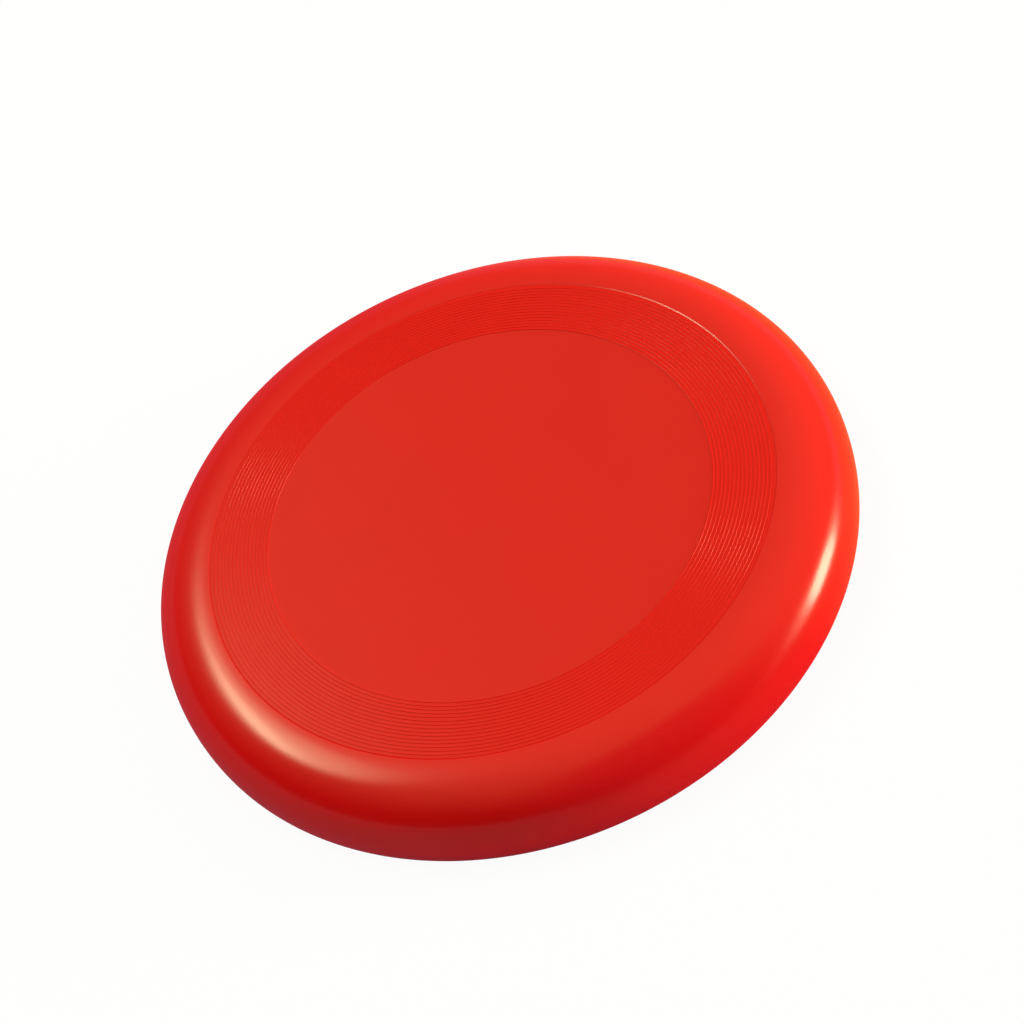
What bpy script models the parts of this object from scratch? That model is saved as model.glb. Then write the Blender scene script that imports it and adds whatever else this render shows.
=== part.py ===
"""A flying disc: one moulded plastic shell, turned about +Z and standing on its lip at the origin."""

import math

import bpy

MM = 0.001

# Overall size
DISC_DIAMETER = 230 * MM
DISC_HEIGHT = 25 * MM

# Flat centre plate
PLATE_DIAMETER = 146 * MM
PLATE_WALL = 1.6 * MM
PLATE_DROP = 0.13 * MM

# Band of low ridges round the plate, which falls gently outward
RIDGE_COUNT = 15
RIDGE_PITCH = 1.3 * MM
RIDGE_WIDTH = 0.45 * MM
RIDGE_HEIGHT = 0.07 * MM
BAND_FALL = 0.75 * MM

# Crown, rolled shoulder and lip
CROWN_WIDTH = 1.5 * MM
CROWN_RISE = 0.25 * MM
WIDEST_HEIGHT = 6.1 * MM
SHOULDER_FULLNESS = 2.3
LIP_TUCK = 1.4 * MM
LIP_LAND = 1.2 * MM
LIP_ROUND = 0.6 * MM
WALL_DRAFT = math.radians(1.5)

# Gate mark under the centre, left by the moulding
GATE_WELL_DIAMETER = 10 * MM
GATE_WELL_DEPTH = 0.4 * MM
GATE_NUB_DIAMETER = 3 * MM
GATE_NUB_LENGTH = 0.6 * MM

# Facets
TURN_STEPS = 72
CROWN_STEPS = 3
SHOULDER_STEPS = 13
TUCK_STEPS = 5
ROUND_STEPS = 3
UNDERSIDE_STEPS = 11
AXIS_MERGE = 0.01 * MM
SHARP_ANGLE = math.radians(25)

# Plastic
RED = (0.74, 0.006, 0.003, 1)
GLOSS_ROUGHNESS = 0.22
MATTE_ROUGHNESS = 0.5

# Radii and heights that follow from the sizes above
WIDEST_RADIUS = DISC_DIAMETER / 2
PLATE_RADIUS = PLATE_DIAMETER / 2
BAND_RADIUS = PLATE_RADIUS + RIDGE_COUNT * RIDGE_PITCH
CROWN_RADIUS = BAND_RADIUS + CROWN_WIDTH
PLATE_TOP = DISC_HEIGHT - PLATE_DROP
PLATE_UNDERSIDE = PLATE_TOP - PLATE_WALL
BAND_TOP = DISC_HEIGHT - RIDGE_HEIGHT
BAND_END = BAND_TOP - BAND_FALL
BAND_UNDERSIDE = BAND_END - PLATE_WALL
CROWN_TOP = BAND_END + CROWN_RISE
LAND_OUTER_RADIUS = WIDEST_RADIUS - LIP_TUCK
LAND_INNER_RADIUS = LAND_OUTER_RADIUS - LIP_LAND
WALL_FOOT_RADIUS = LAND_INNER_RADIUS - LIP_ROUND
WALL_TOP_RADIUS = WALL_FOOT_RADIUS - (WIDEST_HEIGHT - LIP_ROUND) * math.tan(WALL_DRAFT)


def clear_scene():
    for obj in list(bpy.data.objects):
        bpy.data.objects.remove(obj, do_unlink=True)


def plastic(name, roughness):
    material = bpy.data.materials.new(name)
    material.use_nodes = True
    shader = material.node_tree.nodes["Principled BSDF"]
    shader.inputs["Base Color"].default_value = RED
    shader.inputs["Roughness"].default_value = roughness
    shader.inputs["Metallic"].default_value = 0
    return material


def arc(centre, reach, start, end, steps, fullness=2):
    """Points of a superellipse about centre, from one angle to another in degrees; fullness 2 is an ellipse."""
    points = []
    for step in range(steps + 1):
        angle = math.radians(start + (end - start) * step / steps)
        across = math.copysign(abs(math.cos(angle)) ** (2 / fullness), math.cos(angle))
        up = math.copysign(abs(math.sin(angle)) ** (2 / fullness), math.sin(angle))
        points.append((centre[0] + reach[0] * across, centre[1] + reach[1] * up))
    return points


def plate_and_ridges():
    """The top from the axis out: the plate, then for each ridge its inner foot, its crest and its outer foot."""
    points = [(0, PLATE_TOP)]
    for ridge in range(RIDGE_COUNT):
        level = BAND_TOP - BAND_FALL * ridge / RIDGE_COUNT
        foot = PLATE_RADIUS + ridge * RIDGE_PITCH
        points.append((foot, level if ridge else PLATE_TOP))
        points.append((foot + RIDGE_WIDTH / 2, level + RIDGE_HEIGHT))
        points.append((foot + RIDGE_WIDTH, level))
    return points


def rim():
    """The outside: gently up to the crown, over the shoulder, round the widest circle, under the lip and up inside."""
    bend = (CROWN_WIDTH ** 2 + CROWN_RISE ** 2) / (2 * CROWN_RISE)
    lead = math.degrees(math.asin(CROWN_WIDTH / bend))
    crown = arc((CROWN_RADIUS, CROWN_TOP - bend), (bend, bend), 90 + lead, 90, CROWN_STEPS)
    shoulder_reach = (WIDEST_RADIUS - BAND_RADIUS, CROWN_TOP - WIDEST_HEIGHT)
    shoulder = arc((BAND_RADIUS, WIDEST_HEIGHT), shoulder_reach, 90, 0, SHOULDER_STEPS, SHOULDER_FULLNESS)
    shoulder = [point for point in shoulder if point[0] > CROWN_RADIUS + CROWN_WIDTH / 4]
    tuck = arc((LAND_OUTER_RADIUS, WIDEST_HEIGHT), (LIP_TUCK, WIDEST_HEIGHT), 0, -90, TUCK_STEPS)
    inner_edge = arc((LAND_INNER_RADIUS, LIP_ROUND), (LIP_ROUND, LIP_ROUND), -90, -180, ROUND_STEPS)
    return crown + shoulder + tuck[1:] + inner_edge


def underside():
    """The hollow from the top of the inner wall, under the shoulder, band and plate, to the gate mark on the axis."""
    hollow_reach = (WALL_TOP_RADIUS - BAND_RADIUS, BAND_UNDERSIDE - WIDEST_HEIGHT)
    hollow = arc((BAND_RADIUS, WIDEST_HEIGHT), hollow_reach, 0, 90, UNDERSIDE_STEPS, SHOULDER_FULLNESS)
    well_top = PLATE_UNDERSIDE + GATE_WELL_DEPTH
    plate_and_gate = [
        (PLATE_RADIUS, PLATE_UNDERSIDE),
        (GATE_WELL_DIAMETER / 2, PLATE_UNDERSIDE),
        (GATE_WELL_DIAMETER / 2, well_top),
        (GATE_NUB_DIAMETER / 2, well_top),
        (GATE_NUB_DIAMETER / 2, well_top - GATE_NUB_LENGTH),
        (0, well_top - GATE_NUB_LENGTH),
    ]
    return hollow + plate_and_gate


def turned(name, profile):
    """A closed solid from a profile of radius and height points, turned once about +Z."""
    line = bpy.data.meshes.new(name + "_profile")
    points = [(radius, 0, height) for radius, height in profile]
    line.from_pydata(points, [(i, i + 1) for i in range(len(points) - 1)], [])
    guide = bpy.data.objects.new(name + "_profile", line)
    bpy.context.scene.collection.objects.link(guide)
    screw = guide.modifiers.new("Screw", "SCREW")
    screw.steps = TURN_STEPS
    screw.render_steps = TURN_STEPS
    screw.use_merge_vertices = True
    screw.merge_threshold = AXIS_MERGE
    graph = bpy.context.evaluated_depsgraph_get()
    mesh = bpy.data.meshes.new_from_object(guide.evaluated_get(graph))
    mesh.name = name
    bpy.data.objects.remove(guide)
    mesh.shade_smooth()
    mesh.set_sharp_from_angle(angle=SHARP_ANGLE)
    return bpy.data.objects.new(name, mesh)


def dull_the_plate(disc, slot):
    """Gives the flat top of the plate its own material slot."""
    corners = disc.data.vertices
    for face in disc.data.polygons:
        if all(corners[i].co.z > PLATE_TOP - AXIS_MERGE for i in face.vertices):
            if all(math.hypot(*corners[i].co.xy) < PLATE_RADIUS + AXIS_MERGE for i in face.vertices):
                face.material_index = slot


def main():
    clear_scene()
    parts = bpy.data.collections.new("flying_disc")
    bpy.context.scene.collection.children.link(parts)
    disc = turned("disc_shell", plate_and_ridges() + rim() + underside())
    disc.data.materials.append(plastic("red_gloss_plastic", GLOSS_ROUGHNESS))
    disc.data.materials.append(plastic("red_matte_plastic", MATTE_ROUGHNESS))
    dull_the_plate(disc, 1)
    parts.objects.link(disc)


main()
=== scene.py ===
"""The flying disc as it looks: a finely turned red shell on a pale floor, in soft studio light."""

import math

import bpy
from mathutils import Matrix, Vector


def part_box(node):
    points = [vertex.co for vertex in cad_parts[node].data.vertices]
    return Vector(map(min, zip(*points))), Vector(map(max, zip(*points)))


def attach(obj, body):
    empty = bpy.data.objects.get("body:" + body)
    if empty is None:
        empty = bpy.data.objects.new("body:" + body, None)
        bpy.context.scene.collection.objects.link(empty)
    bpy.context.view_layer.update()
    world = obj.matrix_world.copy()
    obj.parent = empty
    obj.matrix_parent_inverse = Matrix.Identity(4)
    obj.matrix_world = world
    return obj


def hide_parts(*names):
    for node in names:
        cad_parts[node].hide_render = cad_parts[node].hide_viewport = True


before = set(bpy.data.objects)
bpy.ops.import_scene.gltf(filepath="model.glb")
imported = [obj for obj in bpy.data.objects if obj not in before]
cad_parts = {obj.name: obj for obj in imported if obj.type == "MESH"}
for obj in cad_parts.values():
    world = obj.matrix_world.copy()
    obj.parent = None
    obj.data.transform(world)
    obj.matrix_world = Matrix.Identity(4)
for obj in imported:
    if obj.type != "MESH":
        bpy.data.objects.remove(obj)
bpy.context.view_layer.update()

MM = 0.001

# The node that the fine shell stands for, and its reach
NODE = "disc_shell"
BODY = "root"
_, node_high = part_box(NODE)
WIDEST_RADIUS = node_high.x
DISC_HEIGHT = node_high.z

# Flat centre plate and the gently falling band of ridges round it
PLATE_RADIUS = 73 * MM
PLATE_DROP = 0.13 * MM
PLATE_WALL = 1.6 * MM
PLATE_EDGE = 0.04 * MM
RIDGE_COUNT = 15
RIDGE_PITCH = 1.3 * MM
RIDGE_WIDTH = 0.45 * MM
RIDGE_HEIGHT = 0.094 * MM
BAND_FALL = 0.75 * MM

# Flanks of a ridge: width and height of its feet and of the wall inside, width of the two slopes above them
RIDGE_FOOT = (0.032 * MM, 0.044 * MM)
INNER_WALL = (0.006 * MM, 0.03 * MM)
INNER_EDGE = 0.065 * MM
OUTER_SLOPE = 0.09 * MM

# Groove, sloped edge of the crown, rolled shoulder and lip
GROOVE_WIDTH = 0.2 * MM
GROOVE_DEPTH = 0.11 * MM
CROWN_RADIUS = 93.3 * MM
CROWN_WIDTH = 0.35 * MM
CROWN_RISE = 0.142 * MM
WIDEST_HEIGHT = 6.1 * MM
SHOULDER_FULLNESS = 2.3
LIP_TUCK = 1.4 * MM
LIP_LAND = 1.2 * MM
LIP_ROUND = 0.6 * MM
WALL_DRAFT = math.radians(1.5)

# Gate mark under the centre
GATE_WELL_RADIUS = 5 * MM
GATE_WELL_DEPTH = 0.4 * MM
GATE_NUB_RADIUS = 1.5 * MM
GATE_NUB_LENGTH = 0.6 * MM
GATE_ROUND = 0.15 * MM

# Steps of the turned surface
TURN_STEPS = 288
SHOULDER_STEPS = 44
TUCK_STEPS = 18
ROUND_STEPS = 15
HOLLOW_STEPS = 30
PLATE_RINGS = 6
AXIS_MERGE = 0.01 * MM
SHARP_ANGLE = math.radians(8)

# Radii and heights that follow
BAND_RADIUS = PLATE_RADIUS + RIDGE_COUNT * RIDGE_PITCH
PLATE_TOP = DISC_HEIGHT - PLATE_DROP
PLATE_UNDERSIDE = PLATE_TOP - PLATE_WALL
BAND_TOP = DISC_HEIGHT - RIDGE_HEIGHT
BAND_END = BAND_TOP - BAND_FALL
BAND_UNDERSIDE = BAND_END - PLATE_WALL
GROOVE_BOTTOM = BAND_END - GROOVE_DEPTH
CROWN_TOP = GROOVE_BOTTOM + CROWN_RISE
CROWN_FOOT = CROWN_RADIUS - CROWN_WIDTH
BAND_EDGE = CROWN_FOOT - GROOVE_WIDTH
LAND_OUTER_RADIUS = WIDEST_RADIUS - LIP_TUCK
LAND_INNER_RADIUS = LAND_OUTER_RADIUS - LIP_LAND
WALL_FOOT_RADIUS = LAND_INNER_RADIUS - LIP_ROUND
WALL_TOP_RADIUS = WALL_FOOT_RADIUS - (WIDEST_HEIGHT - LIP_ROUND) * math.tan(WALL_DRAFT)

# Plastic; a skin is the weight and the roughness of the glossy coat
RED = (0.75, 0.006, 0.003, 1)
DEEP_RED = (0.71, 0.005, 0.0025, 1)
SKIN = (0.27, 0.2)
BAND_SKIN = (0.15, 0.27)
SKIN_IOR = 2
MATTE_ROUGHNESS = (0.4, 0.48)
MATTE_SPECULAR = 0.19
MATTE_SHADE = 0.95
CLOUD_SIZE = 30 * MM
PEEL_SIZE = 2.5 * MM
PEEL_HEIGHT = 0.004 * MM
GRAIN_SIZE = 0.35 * MM
GRAIN_HEIGHT = 0.04 * MM

# Where most values of a noise texture lie
NOISE_RANGE = (0.3, 0.7)

# Camera, fitted to the photograph; the lens and the sensor are in millimetres
CAMERA_ELEVATION = math.radians(48.97)
CAMERA_ROLL = math.radians(-24.92)
CAMERA_DISTANCE = 1.0014
CAMERA_LENS = 109.58
CAMERA_SENSOR = 36
CAMERA_SIDE = 1.14 * MM
CAMERA_RISE = 13.52 * MM

# Floor and background
FLOOR_RADIUS = 8
FLOOR_SIDES = 96
FLOOR_COLOUR = (0.95, 0.96, 1, 1)
FLOOR_WHITE = 0.95
WHITE = (1, 1, 1, 1)
BACKDROP_TOP = math.radians(8)
BACKDROP_FADE = math.radians(14)

# Soft boxes: azimuth, elevation, width, height and roll in degrees, the level they light white to, colour
KEY = (-10, 8, 19, 24, 0, 0.95, (1, 0.98, 0.66))
KEY_GLOW = (-12, 10, 40, 26, 0, 0.2, (1, 0.95, 0.45))
BACK = (129, 50, 20, 5.5, 21, 0.17, (1, 0.97, 0.6))
GLOW = (126.5, 52.5, 30, 18, 33, 0.28, (1, 0.97, 0.6))
LAMP_DISTANCE = 4

# Room light, which fades to nothing away from one direction
SKY_TOWARD = (40, 52)
SKY_LEVEL = 0.94
SKY_COLOUR = (1, 0.94, 0.58, 1)

# Cards that only reflections see, painting shade and warm light into the disc's reflections; their spans and
# soft ends are azimuths in degrees
CARD_INNER = 114.3 * MM
CARD_OUTER = 1.2
CARD_FADE = 30
CARD_STEPS = 56

# Dark card of painted shade, seen only in the disc's reflections, where it stands for the floor's shadow
# beside the disc and for a dark room; it has a low stretch and a high one, and the low one's upright part has
# only a share of its cover
DARK_MIDDLE = 150 * MM
DARK_LIFT = 0.2 * MM
DARK_HEIGHTS = (0.35, 3, 9)
DARK_SPAN = (-300, -20)
DARK_HIGH_SPAN = (-128, -20)
DARK_COVERS = (0.76, 0.9)
DARK_STAND = 0.6
REFLECTED_SHADE_COLOUR = (0.1, 0.045, 0.2, 1)

# Warm card, which lies just under the dark one; it paints a warm glow into the disc's reflections, standing
# for the key light bounced off the floor beside the disc
WARM_REACH = 400 * MM
WARM_LIFT = 0.1 * MM
WARM_SPAN = (-80, 80)
WARM_COVER = 0.9
REFLECTED_GLOW_COLOUR = (1, 1, 0.3, 1)


def arc(centre, reach, start, end, steps, fullness=2):
    """Points of a superellipse about centre, between two angles in degrees; fullness 2 is an ellipse."""
    points = []
    for step in range(steps + 1):
        angle = math.radians(start + (end - start) * step / steps)
        across = math.copysign(abs(math.cos(angle)) ** (2 / fullness), math.cos(angle))
        up = math.copysign(abs(math.sin(angle)) ** (2 / fullness), math.sin(angle))
        points.append((centre[0] + reach[0] * across, centre[1] + reach[1] * up))
    return points


def plate():
    """The flat top from the axis out, with a ring close to its edge that keeps the edge crisp."""
    inner = PLATE_RADIUS - PLATE_EDGE
    return [(inner * ring / PLATE_RINGS, PLATE_TOP) for ring in range(PLATE_RINGS + 1)]


def band_level(radius):
    """Height of the band between its ridges."""
    return BAND_TOP - BAND_FALL * (radius - PLATE_RADIUS) / (BAND_RADIUS - PLATE_RADIUS)


def ridges():
    """The ridges, each steeper inside than outside, and a gap of the falling band after each."""
    foot_width, foot_height = RIDGE_FOOT
    wall_width = foot_width + INNER_WALL[0]
    slope_end = RIDGE_WIDTH - foot_width
    shape = [
        (0, 0),
        (foot_width, foot_height),
        (wall_width, foot_height + INNER_WALL[1]),
        (wall_width + INNER_EDGE, RIDGE_HEIGHT),
        (slope_end - OUTER_SLOPE, RIDGE_HEIGHT),
        (slope_end, foot_height),
        (RIDGE_WIDTH, 0),
    ]
    points = []
    for ridge in range(RIDGE_COUNT):
        foot = PLATE_RADIUS + ridge * RIDGE_PITCH
        points += [(foot + across, band_level(foot + across) + up) for across, up in shape]
    return points


def rim():
    """The outside: down the groove, up to the crown, over the shoulder and round to the inside of the lip."""
    crown = [(BAND_EDGE, BAND_END), (CROWN_FOOT, GROOVE_BOTTOM), (CROWN_RADIUS, CROWN_TOP)]
    shoulder_reach = (WIDEST_RADIUS - BAND_RADIUS, CROWN_TOP - WIDEST_HEIGHT)
    shoulder = arc((BAND_RADIUS, WIDEST_HEIGHT), shoulder_reach, 90, 0, SHOULDER_STEPS, SHOULDER_FULLNESS)
    shoulder = [point for point in shoulder if point[0] > CROWN_RADIUS]
    tuck = arc((LAND_OUTER_RADIUS, WIDEST_HEIGHT), (LIP_TUCK, WIDEST_HEIGHT), 0, -90, TUCK_STEPS)
    inner_edge = arc((LAND_INNER_RADIUS, LIP_ROUND), (LIP_ROUND, LIP_ROUND), -90, -180, ROUND_STEPS)
    return crown + shoulder + tuck[1:] + inner_edge


def underside():
    """The hollow from the top of the inner wall to the gate mark on the axis."""
    hollow_reach = (WALL_TOP_RADIUS - BAND_RADIUS, BAND_UNDERSIDE - WIDEST_HEIGHT)
    hollow = arc((BAND_RADIUS, WIDEST_HEIGHT), hollow_reach, 0, 90, HOLLOW_STEPS, SHOULDER_FULLNESS)
    well_top = PLATE_UNDERSIDE + GATE_WELL_DEPTH
    nub_end = well_top - GATE_NUB_LENGTH
    corner = (GATE_ROUND, GATE_ROUND)
    well_centre = (GATE_WELL_RADIUS + GATE_ROUND, PLATE_UNDERSIDE + GATE_ROUND)
    well_edge = arc(well_centre, corner, -90, -180, ROUND_STEPS)
    nub_centre = (GATE_NUB_RADIUS - GATE_ROUND, nub_end + GATE_ROUND)
    nub_edge = arc(nub_centre, corner, 0, -90, ROUND_STEPS)
    foot = [(GATE_WELL_RADIUS, well_top), (GATE_NUB_RADIUS, well_top)]
    return hollow + [(PLATE_RADIUS, PLATE_UNDERSIDE)] + well_edge + foot + nub_edge + [(0, nub_end)]


def turned(name, profile):
    """A closed mesh object from a profile of radius and height points, turned once about +Z."""
    line = bpy.data.meshes.new(name + "_profile")
    points = [(radius, 0, height) for radius, height in profile]
    line.from_pydata(points, [(i, i + 1) for i in range(len(points) - 1)], [])
    guide = bpy.data.objects.new(name + "_profile", line)
    bpy.context.scene.collection.objects.link(guide)
    screw = guide.modifiers.new("Screw", "SCREW")
    screw.steps = TURN_STEPS
    screw.render_steps = TURN_STEPS
    screw.use_merge_vertices = True
    screw.merge_threshold = AXIS_MERGE
    graph = bpy.context.evaluated_depsgraph_get()
    mesh = bpy.data.meshes.new_from_object(guide.evaluated_get(graph))
    mesh.name = name
    bpy.data.objects.remove(guide)
    mesh.shade_smooth()
    mesh.set_sharp_from_angle(angle=SHARP_ANGLE)
    disc = bpy.data.objects.new(name, mesh)
    bpy.context.scene.collection.objects.link(disc)
    return disc


def node(tree, kind, **inputs):
    """A new node of that kind; a keyword, with underscores for spaces, sets or links the input it names."""
    made = tree.nodes.new(kind)
    for name, value in inputs.items():
        join(tree, value, made.inputs[name.replace("_", " ")])
    return made


def join(tree, value, socket):
    """Links a socket, or sets a plain value."""
    if isinstance(value, bpy.types.NodeSocket):
        tree.links.new(value, socket)
    else:
        socket.default_value = value


def noise(tree, place, size):
    """Noise between 0 and 1 whose features are about size metres across."""
    return node(tree, "ShaderNodeTexNoise", Vector=place, Scale=1 / size).outputs["Fac"]


def ramp(tree, value, start, end, low, high):
    """A number that runs from low to high as value runs from start to end."""
    made = node(tree, "ShaderNodeMapRange", Value=value, From_Min=start, From_Max=end)
    join(tree, low, made.inputs["To Min"])
    join(tree, high, made.inputs["To Max"])
    return made.outputs["Result"]


def colour_mix(tree, factor, low, high):
    """A colour that runs from low to high with factor."""
    return node(tree, "ShaderNodeMixRGB", Fac=factor, Color1=low, Color2=high).outputs["Color"]


def combined(tree, operation, first, second):
    """The result of a Math node on two numbers."""
    made = node(tree, "ShaderNodeMath")
    made.operation = operation
    join(tree, first, made.inputs[0])
    join(tree, second, made.inputs[1])
    return made.outputs[0]


def shader_mix(tree, factor, first, second):
    """A shader that runs from first to second with factor."""
    made = tree.nodes.new("ShaderNodeMixShader")
    join(tree, factor, made.inputs[0])
    join(tree, first, made.inputs[1])
    join(tree, second, made.inputs[2])
    return made.outputs[0]


def plastic(name, bump_size, bump_height, shade=1.0):
    """Moulded red plastic with faint clouds in its colour and roughness, and a fine relief."""
    deep = tuple(level * shade for level in DEEP_RED[:3]) + (1,)
    full = tuple(level * shade for level in RED[:3]) + (1,)
    material = bpy.data.materials.new(name)
    material.use_nodes = True
    tree = material.node_tree
    shader = tree.nodes["Principled BSDF"]
    place = tree.nodes.new("ShaderNodeTexCoord").outputs["Object"]
    clouds = noise(tree, place, CLOUD_SIZE)
    relief = noise(tree, place, bump_size)
    bump = node(tree, "ShaderNodeBump", Height=relief, Distance=bump_height)
    join(tree, colour_mix(tree, clouds, deep, full), shader.inputs["Base Color"])
    join(tree, ramp(tree, clouds, *NOISE_RANGE, *MATTE_ROUGHNESS), shader.inputs["Roughness"])
    join(tree, bump.outputs["Normal"], shader.inputs["Normal"])
    join(tree, bump.outputs["Normal"], shader.inputs["Coat Normal"])
    shader.inputs["Specular IOR Level"].default_value = MATTE_SPECULAR
    return material


def polish(material, weight, roughness):
    """Gives the dull plastic some of the glossy skin of a polished mould."""
    shader = material.node_tree.nodes["Principled BSDF"]
    shader.inputs["Specular IOR Level"].default_value = 0
    shader.inputs["Coat Weight"].default_value = weight
    shader.inputs["Coat IOR"].default_value = SKIN_IOR
    shader.inputs["Coat Roughness"].default_value = roughness


def sort_finishes(disc, band_slot, plate_slot):
    """Gives the band of ridges and the flat plate their own material slots."""
    corners = disc.data.vertices
    for face in disc.data.polygons:
        reach = max(corners[i].co.xy.length for i in face.vertices)
        lowest = min(corners[i].co.z for i in face.vertices)
        if lowest > PLATE_TOP - AXIS_MERGE and reach < PLATE_RADIUS - AXIS_MERGE:
            face.material_index = plate_slot
        elif lowest > GROOVE_BOTTOM - AXIS_MERGE and reach < CROWN_FOOT + AXIS_MERGE:
            face.material_index = band_slot


def make_disc():
    """The fine shell in its three finishes, in the place of the solid."""
    disc = turned("disc_shell_fine", plate() + ridges() + rim() + underside())
    gloss = plastic("red_gloss_plastic", PEEL_SIZE, PEEL_HEIGHT)
    satin = plastic("red_satin_plastic", PEEL_SIZE, PEEL_HEIGHT)
    matte = plastic("red_matte_plastic", GRAIN_SIZE, GRAIN_HEIGHT, MATTE_SHADE)
    polish(gloss, *SKIN)
    polish(satin, *BAND_SKIN)
    finishes = [gloss, satin, matte]
    for material in finishes:
        disc.data.materials.append(material)
    sort_finishes(disc, finishes.index(satin), finishes.index(matte))
    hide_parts(NODE)
    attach(disc, BODY)


def shown_directly(tree):
    """1 for rays that show the background: from the camera, in a reflection or through glass."""
    path = tree.nodes.new("ShaderNodeLightPath").outputs
    seen = combined(tree, "MAXIMUM", path["Is Camera Ray"], path["Is Glossy Ray"])
    return combined(tree, "MAXIMUM", seen, path["Is Transmission Ray"])


def empty_material(name):
    """A material with no nodes yet."""
    material = bpy.data.materials.new(name)
    material.use_nodes = True
    material.node_tree.nodes.clear()
    return material


def make_floor():
    """A plain pale floor that is nearly white where it is seen, and keeps the disc's shadow."""
    bpy.ops.mesh.primitive_circle_add(vertices=FLOOR_SIDES, radius=FLOOR_RADIUS, fill_type="NGON")
    floor = bpy.context.object
    floor.name = "floor"
    material = empty_material("pale_floor")
    tree = material.node_tree
    paper = node(tree, "ShaderNodeBsdfDiffuse", Color=FLOOR_COLOUR).outputs["BSDF"]
    white = node(tree, "ShaderNodeEmission", Color=WHITE, Strength=1).outputs["Emission"]
    factor = combined(tree, "MULTIPLY", shown_directly(tree), FLOOR_WHITE)
    node(tree, "ShaderNodeOutputMaterial", Surface=shader_mix(tree, factor, paper, white))
    floor.data.materials.append(material)


def toward(azimuth, elevation):
    """Unit vector in a direction given in degrees: azimuth from +X, elevation above the floor."""
    turn = math.radians(azimuth)
    lift = math.radians(elevation)
    return Vector((math.cos(turn) * math.cos(lift), math.sin(turn) * math.cos(lift), math.sin(lift)))


def make_softbox(name, azimuth, elevation, width, height, roll, level, colour):
    """A far soft box, given as the disc sees it."""
    out = toward(azimuth, elevation)
    east = Vector((0, 0, 1)).cross(out).normalized()
    north = out.cross(east)
    turn = math.radians(roll)
    along = east * math.cos(turn) + north * math.sin(turn)
    lamp = bpy.data.lights.new(name, "AREA")
    lamp.shape = "ELLIPSE"
    lamp.size = 2 * LAMP_DISTANCE * math.tan(math.radians(width / 2))
    lamp.size_y = 2 * LAMP_DISTANCE * math.tan(math.radians(height / 2))
    lamp.energy = level * (math.pi * LAMP_DISTANCE) ** 2
    lamp.color = colour
    box = bpy.data.objects.new(name, lamp)
    axes = Matrix((along, out.cross(along), out)).transposed().to_4x4()
    box.matrix_world = Matrix.Translation(out * LAMP_DISTANCE) @ axes
    box.visible_camera = False
    bpy.context.scene.collection.objects.link(box)


def fade(azimuth, span):
    """1 inside a span of azimuths, falling to 0 at its ends."""
    inside = min(azimuth - span[0], span[1] - azimuth) / CARD_FADE
    return min(max(inside, 0), 1)


def reflected_shade_section(azimuth):
    """Reach, height and cover along the dark card of painted shade, which lies by the disc and stands up
    behind the camera.
    """
    low, middle, high = DARK_HEIGHTS
    tall = fade(azimuth, DARK_HIGH_SPAN)
    near = fade(azimuth, DARK_SPAN) * (DARK_COVERS[0] * (1 - tall) + DARK_COVERS[1] * tall)
    full = max(near, tall)
    return [
        (CARD_INNER, DARK_LIFT, near),
        (DARK_MIDDLE, DARK_LIFT, full),
        (CARD_OUTER, DARK_LIFT, full),
        (CARD_OUTER, low, max(near * DARK_STAND, tall)),
        (CARD_OUTER, middle, tall),
        (CARD_OUTER, high, 0),
    ]


def reflected_glow_section(azimuth):
    """Reach, height and cover along the warm card of painted warm reflection, which lies beside the disc and
    fades outward.
    """
    cover = fade(azimuth, WARM_SPAN) * WARM_COVER
    return [(CARD_INNER, WARM_LIFT, cover), (WARM_REACH, WARM_LIFT, cover), (CARD_OUTER, WARM_LIFT, 0)]


def painted_reflection_material(name, colour):
    """A plain glowing colour for a card of painted reflection, clear where the card's cover is 0."""
    material = empty_material(name)
    tree = material.node_tree
    cover = tree.nodes.new("ShaderNodeAttribute")
    cover.attribute_name = "cover"
    clear = tree.nodes.new("ShaderNodeBsdfTransparent").outputs["BSDF"]
    plain = node(tree, "ShaderNodeEmission", Color=colour, Strength=1).outputs["Emission"]
    surface = shader_mix(tree, cover.outputs["Fac"], clear, plain)
    node(tree, "ShaderNodeOutputMaterial", Surface=surface)
    return material


def make_painted_reflection(name, colour, span, section):
    """A card of painted reflection that only reflections see, swept through a span of azimuths."""
    start, end = span
    corners = []
    covers = []
    for step in range(CARD_STEPS + 1):
        azimuth = start + (end - start) * step / CARD_STEPS
        points = section(azimuth)
        for reach, height, cover in points:
            corners.append(toward(azimuth, 0) * reach + Vector((0, 0, height)))
            covers.append(cover)
    rows = len(points)
    faces = []
    for first in range(0, rows * CARD_STEPS, rows):
        for inner in range(first, first + rows - 1):
            faces.append((inner, inner + 1, inner + rows + 1, inner + rows))
    mesh = bpy.data.meshes.new(name)
    mesh.from_pydata(corners, [], faces)
    mesh.attributes.new("cover", "FLOAT", "POINT").data.foreach_set("value", covers)
    mesh.materials.append(painted_reflection_material(name, colour))
    card = bpy.data.objects.new(name, mesh)
    bpy.context.scene.collection.objects.link(card)
    card.visible_camera = False
    card.visible_diffuse = False
    card.visible_shadow = False
    card.visible_transmission = False


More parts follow.
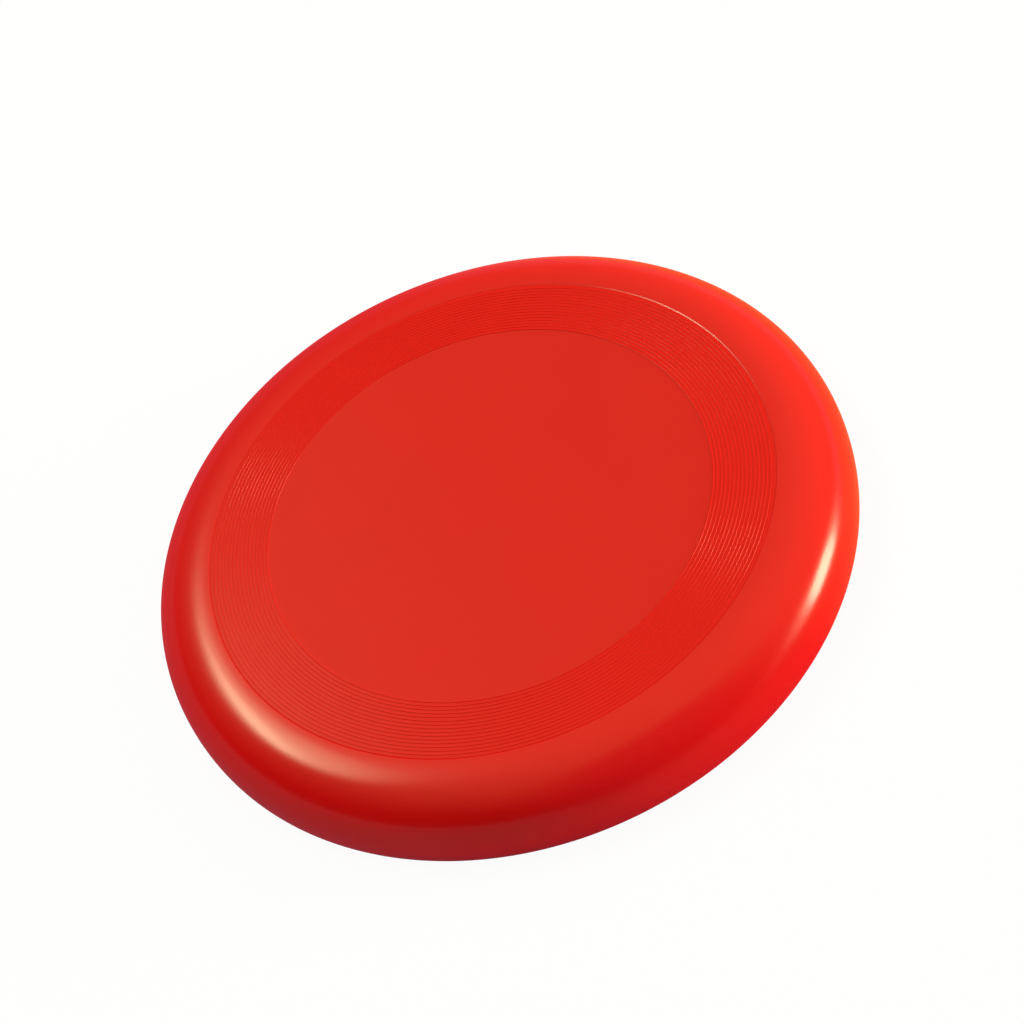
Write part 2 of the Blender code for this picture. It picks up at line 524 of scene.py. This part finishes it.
def make_world():
    """A soft room, brighter towards one side, with a white backdrop round the horizon."""
    world = bpy.data.worlds.new("studio")
    bpy.context.scene.world = world
    world.use_nodes = True
    tree = world.node_tree
    tree.nodes.clear()
    way = tree.nodes.new("ShaderNodeTexCoord").outputs["Generated"]
    side = node(tree, "ShaderNodeVectorMath")
    side.operation = "DOT_PRODUCT"
    join(tree, way, side.inputs[0])
    join(tree, toward(*SKY_TOWARD), side.inputs[1])
    level = ramp(tree, side.outputs["Value"], 0, 1, 0, SKY_LEVEL)
    height = node(tree, "ShaderNodeSeparateXYZ", Vector=way).outputs["Z"]
    low = ramp(tree, height, math.sin(BACKDROP_FADE), math.sin(BACKDROP_TOP), 0, 1)
    backdrop = combined(tree, "MULTIPLY", low, shown_directly(tree))
    sky = node(tree, "ShaderNodeBackground", Color=SKY_COLOUR, Strength=level).outputs[0]
    white = node(tree, "ShaderNodeBackground", Color=WHITE, Strength=1).outputs[0]
    node(tree, "ShaderNodeOutputWorld", Surface=shader_mix(tree, backdrop, sky, white))


def make_camera():
    """The camera at the photograph's angle and roll, aimed near the middle of the disc."""
    back = Vector((0, -math.cos(CAMERA_ELEVATION), math.sin(CAMERA_ELEVATION)))
    level = Vector((1, 0, 0))
    raised = back.cross(level)
    side = level * math.cos(CAMERA_ROLL) + raised * math.sin(CAMERA_ROLL)
    rise = raised * math.cos(CAMERA_ROLL) - level * math.sin(CAMERA_ROLL)
    aim = side * CAMERA_SIDE + rise * CAMERA_RISE
    lens = bpy.data.cameras.new("camera")
    lens.lens = CAMERA_LENS
    lens.sensor_width = CAMERA_SENSOR
    camera = bpy.data.objects.new("camera", lens)
    turn = Matrix((side, rise, back)).transposed().to_4x4()
    camera.matrix_world = Matrix.Translation(aim + back * CAMERA_DISTANCE) @ turn
    bpy.context.scene.collection.objects.link(camera)
    bpy.context.scene.camera = camera


make_disc()
make_floor()
make_softbox("key", *KEY)
make_softbox("key_glow", *KEY_GLOW)
make_softbox("back", *BACK)
make_softbox("glow", *GLOW)
# Painted shade in the disc's reflections: the floor's shadow beside it and a dark room
make_painted_reflection("reflected_shade_card", REFLECTED_SHADE_COLOUR, DARK_SPAN, reflected_shade_section)
# Painted warm light in the disc's reflections, for the key's bounce off the floor
make_painted_reflection("reflected_glow_card", REFLECTED_GLOW_COLOUR, WARM_SPAN, reflected_glow_section)
make_world()
make_camera()
bpy.context.scene.view_settings.view_transform = "Standard"
